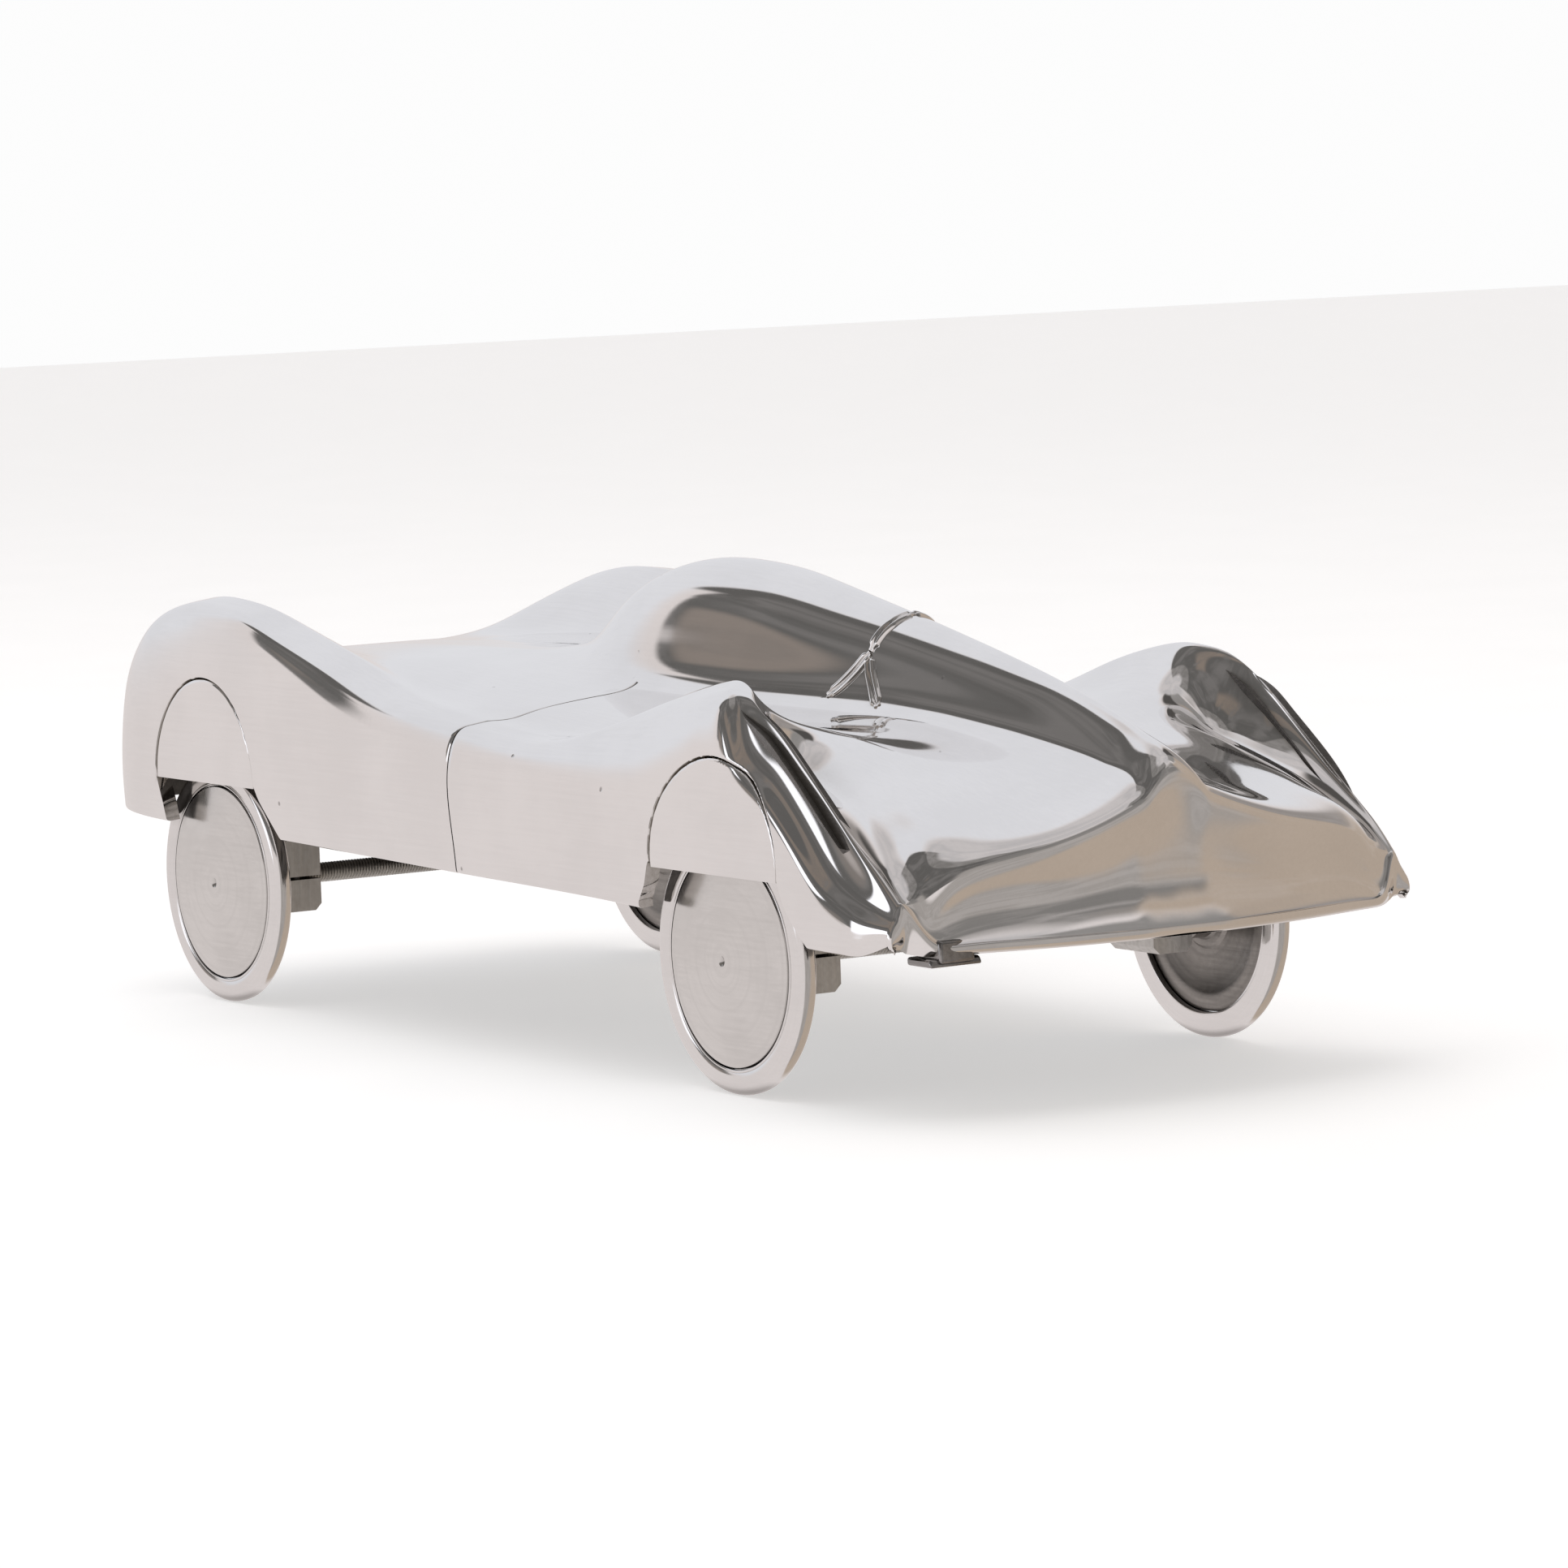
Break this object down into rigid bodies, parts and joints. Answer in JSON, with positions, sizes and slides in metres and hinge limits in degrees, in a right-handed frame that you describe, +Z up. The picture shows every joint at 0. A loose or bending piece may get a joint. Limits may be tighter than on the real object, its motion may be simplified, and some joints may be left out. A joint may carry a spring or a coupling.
{
  "type": "model car",
  "caption": "Polished cast aluminium streamlined model car with pontoon fenders, a finned canopy, a hollow nose and solid disc wheels on turning axles.",
  "frame": {"origin": "on the ground under the middle of the bounding box, on the centre plane", "axes": "+X towards the nose, +Y towards the car's left side, +Z up"},
  "size_m": [0.445, 0.1788, 0.1335],
  "materials": {
    "polished_casting": "mirror polished sand casting with small pits and fine polishing lines",
    "polished_ring": "turned and polished",
    "turned_disc": "turned on a lathe, soft satin polish, turned rings left on the inner face",
    "sawn_block": "sawn and milled, dull",
    "threaded_steel": "rolled thread, plain zinc",
    "zinc_steel": "zinc plated",
    "black_screw": "black oxide"
  },
  "bodies": {
    "chassis": {"canopy": "polished_casting", "body_rear": "polished_casting", "body_front": "polished_casting", "skirt_rear_left": "polished_casting", "bearing_block_rear_left": "sawn_block", "bearing_cap_rear_left": "sawn_block", "skirt_rear_right": "polished_casting", "bearing_block_rear_right": "sawn_block", "bearing_cap_rear_right": "sawn_block", "skirt_front_left": "polished_casting", "bearing_block_front_left": "sawn_block", "bearing_cap_front_left": "sawn_block", "skirt_front_right": "polished_casting", "bearing_block_front_right": "sawn_block", "bearing_cap_front_right": "sawn_block", "bearing_cap_screws": "black_screw", "seam_strap_left": "sawn_block", "seam_strap_right": "sawn_block", "seam_strap_screws": "black_screw"},
    "rear_wheelset": {"axle_rear": "threaded_steel", "wheel_nuts_rear": "zinc_steel", "washers_rear": "zinc_steel", "tyre_rear_left": "polished_ring", "tyre_rear_right": "polished_ring", "wheel_disc_rear_left": "turned_disc", "wheel_disc_rear_right": "turned_disc"},
    "front_wheelset": {"axle_front": "threaded_steel", "wheel_nuts_front": "zinc_steel", "washers_front": "zinc_steel", "tyre_front_left": "polished_ring", "tyre_front_right": "polished_ring", "wheel_disc_front_left": "turned_disc", "wheel_disc_front_right": "turned_disc"}
  },
  "joints": [
    {"name": "rear_axle_spin", "type": "hinge", "parent": "chassis", "child": "rear_wheelset", "pos_m": [-0.16, 0, 0.036], "axis": [0, 1, 0], "continuous": true},
    {"name": "front_axle_spin", "type": "hinge", "parent": "chassis", "child": "front_wheelset", "pos_m": [0.125, 0, 0.036], "axis": [0, 1, 0], "continuous": true}
  ]
}
